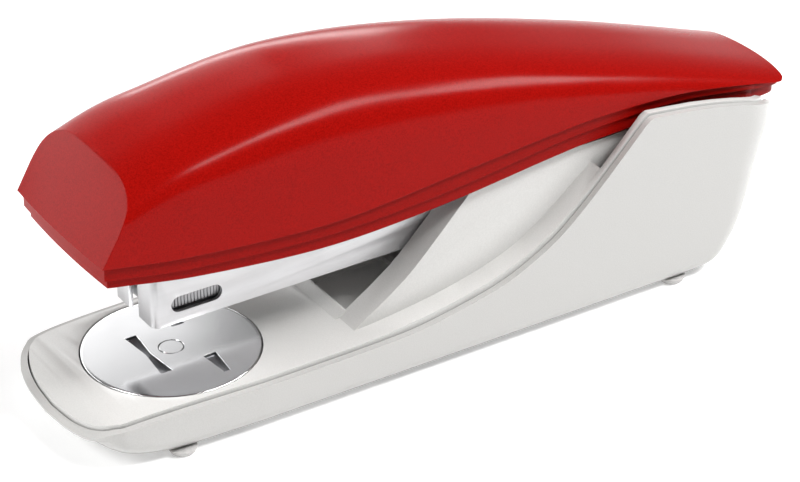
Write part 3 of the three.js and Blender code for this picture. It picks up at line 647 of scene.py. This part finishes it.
def staples():
    """A glued strip of staples, each its own bent wire with rounded corners, a hair apart."""
    pitch, wire, half, leg, top, bend = 0.67, 0.5, 6.45, 6.0, 28.7, 0.45
    strip_length = 35
    count = int(strip_length / pitch)

    def arch(out):
        r = bend + (0.1 if out else -0.35)
        w, t = half - (0 if out else wire), top - (0 if out else wire)
        path = [(w, top - leg)]
        for k in range(5):
            a = math.pi / 2 * k / 4
            path.append((w - r + r * math.cos(a), t - r + r * math.sin(a)))
        return path + [(-x, z) for x, z in path[::-1]]

    outside, inside = arch(True), arch(False)
    n = len(outside)
    verts, faces = [], []
    for i in range(count):
        y0 = RAIL_FRONT + i * pitch + 0.03
        y1 = y0 + pitch - 0.08
        base = len(verts)
        for y, tuck in ((y0, 0.08), (y0 + 0.1, 0), (y1 - 0.1, 0), (y1, 0.08)):
            for x, z in outside:
                verts.append((x - math.copysign(tuck, x), y, z - (tuck if z > top - 0.6 else 0)))
            verts += [(x, y, z) for x, z in inside]
        for r in range(3):
            for j in range(n - 1):
                p, q = base + r * 2 * n + j, base + (r + 1) * 2 * n + j
                faces += [(p, p + 1, q + 1, q), (p + n, q + n, q + n + 1, p + n + 1)]
            for j in (0, n - 1):
                p, q = base + r * 2 * n + j, base + (r + 1) * 2 * n + j
                faces.append((p, q, q + n, p + n))
        for r in (0, 3):
            for j in range(n - 1):
                p = base + r * 2 * n + j
                faces.append((p, p + 1, p + n + 1, p + n))
    return piece("staples", verts, faces, "magazine", SHADED_WIRE, ["staple_strip"], None, 1, 24)


staples()

foot_profile = [(0, 0.25), (0.9, 0.25), (1.1, 0), (1.9, 0), (2.15, 0.08), (2.35, 0.3), (2.6, 0.9),
                (2.7, 1.05), (2.7, 1.15), (2.6, 1.2), (0, 1.2)]
for end, y in (("front", FOOT_FRONT), ("rear", FOOT_REAR)):
    for side, x in (("left", -FOOT_X), ("right", FOOT_X)):
        lathe(f"{end}_{side}_foot", foot_profile, (x, y, 0), "z", "base", RUBBER, [f"foot_{end}_{side}"],
              48)

pin = [(0, -11.2), (1.2, -11.2), (1.6, -11), (1.8, -10.7), (1.8, -8.6), (1.65, -8.5), (1.65, -8.2),
       (1.8, -8.1)]
lathe("pivot_pin", pin + [(r, -s) for r, s in pin[::-1]], (0, HINGE_Y, HINGE_Z), "x", "base", BRIGHT,
      ["hinge_pin"], 48)
stem = [(0, 1.7), (1.9, 1.7), (2.2, 1.9), (2.3, 2.1), (2.3, 5), (2.2, 5.1), (2.2, 6.2), (2.3, 6.3),
        (2.3, TRAY - 0.2), (2.26, TRAY - 0.08), (2.16, TRAY), (2.1, TRAY), (0, TRAY)]
lathe("anvil_pin", stem, (0, ANVIL_Y, 0), "z", "anvil_lifter", MIRROR, ["anvil_stem"], 72)
button = [(2.7, 1.75), (3.6, 1.7), (3.9, 1.9), (4.5, 1.9), (4.8, 1.7), (5.6, 1.7), (5.9, 1.85), (6, 2.1),
          (6, 2.9), (5.85, 3.15), (5.6, 3.2), (2.7, 3.2)]
lathe("push_button", button, (0, ANVIL_Y, 0), "z", "anvil_lifter", BLACK, ["anvil_button"],
      64)


# ---- the anvil's disc ----------------------------------------------------------------------------------
def cutter(outline, floor):
    """A groove's cutter: an outline in plan whose floor follows a curve along x, its lip flared open."""
    n = len(outline)
    c = np.mean(np.array(outline), axis=0)
    verts = []
    for level_z, grow in ((None, 0), (TRAY - 0.05, 0), (TRAY + 0.02, 0.06), (TRAY + 1, 0.06)):
        for x, y in outline:
            gx, gy = np.sign(x - c[0]) * grow, np.sign(y - c[1]) * grow
            verts.append((x + gx, y + gy, floor(x) if level_z is None else level_z))
    half = n // 2
    faces = [(i, i + 1, n - 2 - i, n - 1 - i) for i in range(half - 1)]
    for r in range(3):
        for i in range(n):
            k = (i + 1) % n
            faces.append((r * n + i, r * n + k, (r + 1) * n + k, (r + 1) * n + i))
    faces += [tuple(3 * n + v for v in (i, i + 1, n - 2 - i, n - 1 - i)) for i in range(half - 1)]
    return verts, faces


def groove_outline(stations, centre_y):
    """An outline from (x, half width) stations, out along one side and back along the other."""
    fine = [(x, np.interp(x, [s[0] for s in stations], [s[1] for s in stations]))
            for x in np.linspace(stations[0][0], stations[-1][0], 17)]
    return [(x, centre_y - w) for x, w in fine] + [(x, centre_y + w) for x, w in fine[::-1]]


def scoop(a, b, deep):
    """A floor that starts just under the surface at a and b, and is deepest midway between them."""
    def floor(x):
        share = min(max((x - a) / (b - a), 0), 1)
        return TRAY - GROOVE_END_DEPTH - deep * math.sin(math.pi * share) ** 0.7

    return floor


disc_profile = [(2.42, TRAY - 1.9), (2.42, TRAY - 0.05), (2.46, TRAY), (2.6, TRAY),
                (ANVIL_RADIUS - 0.6, TRAY)]
for t in np.linspace(0, 1.57, 6):
    disc_profile.append((ANVIL_RADIUS - 0.2 + 0.2 * math.sin(t), TRAY - 0.2 + 0.2 * math.cos(t)))
disc_profile += [(ANVIL_RADIUS, TRAY - 1.7), (ANVIL_RADIUS - 0.3, TRAY - 2), (2.6, TRAY - 2)]
disc = lathe("anvil_plate", disc_profile, (0, ANVIL_Y, 0), "z", "anvil", MIRROR, ["anvil_disc"],
             160)
closed_left, closed_right = scoop(-7.6, 0.9, GROOVE_DEPTH), scoop(-0.9, 7.6, GROOVE_DEPTH)
closed = groove_outline([(-7, 1.15), (0, 0.45), (7, 1.15)], ANVIL_Y - GROOVE_OFFSET)
open_right = [(5.9, 1.3), (12.6, 0.6)]
open_left = [(-x, w) for x, w in open_right[::-1]]
carved(disc, [
    cutter(closed, lambda x: closed_left(x) if x < 0 else closed_right(x)),
    cutter(groove_outline(open_right, ANVIL_Y + GROOVE_OFFSET), scoop(5.2, 13.6, GROOVE_DEPTH)),
    cutter(groove_outline(open_left, ANVIL_Y + GROOVE_OFFSET), scoop(-13.6, -5.2, GROOVE_DEPTH))], 20)
# The grooves' walls and floors take a darker steel than the plate. The darker colour is painted shade in the
# recesses; the rougher finish is the stamped metal's.
disc.data.materials.append(GROOVE_SHADE)
for face in disc.data.polygons:
    away = (face.center / MM - Vector((0, ANVIL_Y, TRAY))).xy.length
    if 3 < away < ANVIL_RADIUS - 1 and TRAY - 1.5 < face.center.z / MM < TRAY - 0.02:
        face.material_index = 1


# ---- the magazine, with its real bend radii ------------------------------------------------------------
def bent_copy(name, node, body, material, bends, edge):
    """A copy of a node whose chosen edges are rounded to a bend's radius. Each bend is a radius and a test of
    an edge's ends."""
    source = nodes[node].data
    b = bmesh.new()
    b.from_mesh(source)
    bmesh.ops.remove_doubles(b, verts=b.verts, dist=2e-6)
    bmesh.ops.dissolve_limit(b, angle_limit=math.radians(0.6), verts=b.verts, edges=b.edges)
    for radius, test in bends:
        chosen = [e for e in b.edges if e.calc_face_angle(0) > 0.5 and test(*(v.co / MM for v in e.verts))]
        bmesh.ops.bevel(b, geom=chosen, offset=radius * MM, offset_type="OFFSET", segments=6, profile=0.5,
                        affect="EDGES", clamp_overlap=True)
    mesh = bpy.data.meshes.new(name)
    b.to_mesh(mesh)
    b.free()
    obj = bpy.data.objects.new(name, mesh)
    scene.collection.objects.link(obj)
    mesh.materials.append(material)
    finish_edges(obj, edge, 2, 30)
    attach(obj, body)
    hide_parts(node)
    return obj


def near(value, goal):
    return abs(value - goal) < 0.02


def corner_of(x, y):
    return lambda a, b: all(near(abs(p.x), x) and near(p.y, y) for p in (a, b))


def bend_of(x, z):
    return lambda a, b: all(near(abs(p.x), x) and near(p.z, z) for p in (a, b))


bent_copy("magazine_body", "magazine_channel", "magazine", NICKEL,
          [(1.3, corner_of(7.5, -60.7)), (0.3, corner_of(6.7, -59.9)), (0.9, bend_of(7.5, 20.1)),
           (0.15, bend_of(6.7, 20.9))], 0.12)


# ---- carried-over nodes ------------------------------------------------------------------------------
cad_look("base_liner", LINER, 0.3, 3, 18)
cad_look("bottom_plate", LIGHT, 0.15)
cad_look("chassis", GREY, 0.15)
cad_look("staple_rail", GREY, 0.12)
cad_look("spring_stop", BLACK, 0.15)
cad_look("follower", BLACK, 0.2)
cad_look("cover_arm", GREY, 0.15)
cad_look("driver_blade", BRIGHT, 0.08)
cad_look("blade_rivet_left", GREY, 0.15)
cad_look("blade_rivet_right", GREY, 0.15)
cad_look("cover_spring", SPRING, 0.08)

rod_low, rod_high = (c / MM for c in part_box("guide_rod"))
spring_low, spring_high = (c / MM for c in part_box("follower_spring"))
guide = [(0, rod_low.y), (0.7, rod_low.y), (1, rod_low.y + 0.3), (1, rod_high.y - 1.6),
         (0.75, rod_high.y - 1.5), (0.75, rod_high.y - 1), (1, rod_high.y - 0.9), (1, rod_high.y - 0.3),
         (0.7, rod_high.y), (0, rod_high.y)]
rod_z = (rod_low.z + rod_high.z) / 2
lathe("spring_guide", guide, (0, 0, rod_z), "y", "magazine", BRIGHT, ["guide_rod"], 32)
coil("follower_coil", "follower_spring", (0, 0, rod_z), "y", 2.2, 0.5, spring_low.y, spring_high.y, 26,
     "magazine")

# ---- stage -----------------------------------------------------------------------------------------
camera_data = bpy.data.cameras.new("camera")
camera_data.lens = 134.135
camera_data.clip_start, camera_data.clip_end = 0.01, 20
camera = bpy.data.objects.new("camera", camera_data)
scene.collection.objects.link(camera)
azimuth, elevation, roll = math.radians(57.955), math.radians(30.512), math.radians(-0.506)
flat = math.cos(elevation)
back = Vector((math.sin(azimuth) * flat, -math.cos(azimuth) * flat, math.sin(elevation)))
right = (-back).cross(Vector((0, 0, 1))).normalized()
up = right.cross(-back)
across = right * math.cos(roll) + up * math.sin(roll)
upward = up * math.cos(roll) - right * math.sin(roll)
eye = Vector((0.41202, -0.26205, 0.30324))
camera.matrix_world = Matrix.Translation(eye) @ Matrix((across, upward, back)).transposed().to_4x4()
scene.camera = camera

floor_mesh = bpy.data.meshes.new("floor")
reach = 3
corners = [(-reach, -reach, 0), (reach, -reach, 0), (reach, reach, 0), (-reach, reach, 0)]
floor_mesh.from_pydata(corners, [], [(0, 1, 2, 3)])
floor = bpy.data.objects.new("floor", floor_mesh)
scene.collection.objects.link(floor)
floor_material, tree, shader = new_material("floor_look")
shader.inputs["Base Color"].default_value = (0.82, 0.82, 0.82, 1)
shader.inputs["Roughness"].default_value = 0.9
shader.inputs["Emission Color"].default_value = (1, 1, 1, 1)
shader.inputs["Emission Strength"].default_value = 0.28
floor_mesh.materials.append(floor_material)

world = bpy.data.worlds.new("studio")
scene.world = world
world.use_nodes = True
world.node_tree.nodes["Background"].inputs["Color"].default_value = (1, 1, 1, 1)
world.node_tree.nodes["Background"].inputs["Strength"].default_value = 0.18


def area_light(name, place, target, size, power):
    data = bpy.data.lights.new(name, "AREA")
    data.shape = "RECTANGLE"
    data.size, data.size_y = size
    data.energy = power
    obj = bpy.data.objects.new(name, data)
    scene.collection.objects.link(obj)
    obj.location = place
    obj.rotation_mode = "QUATERNION"
    obj.rotation_quaternion = (Vector(target) - Vector(place)).to_track_quat("-Z", "Y")


def around(azimuth, elevation, distance):
    """A place round the object: azimuth 0 is in front, towards -Y, and 90 is towards +X."""
    a, e = math.radians(azimuth), math.radians(elevation)
    flat = distance * math.cos(e)
    return flat * math.sin(a), -flat * math.cos(a), distance * math.sin(e)


area_light("near_rear_softbox", around(134, 52, 1.2), (0, 0, 0.04), (0.5, 0.25), 9)
area_light("nose_softbox", around(113, 56, 1.2), (0, -0.04, 0.04), (0.2, 0.15), 2.4)
area_light("rear_softbox", around(159, 40, 1.2), (0, 0.02, 0.04), (0.52, 0.2), 7.5)
area_light("far_side_softbox", around(-88, 17, 1.2), (0, 0, 0.04), (1.1, 0.85), 5)
area_light("far_rear_strip", around(-115, 13, 1.2), (0, -0.02, 0.04), (0.46, 0.13), 1.8)
area_light("far_front_fill", around(-48, 12, 1.3), (0, -0.05, 0.04), (0.9, 0.35), 3.5)
area_light("front_softbox", around(-5, 42, 1.3), (0, -0.03, 0.03), (0.66, 0.42), 10.5)
scene.view_settings.view_transform = "Standard"
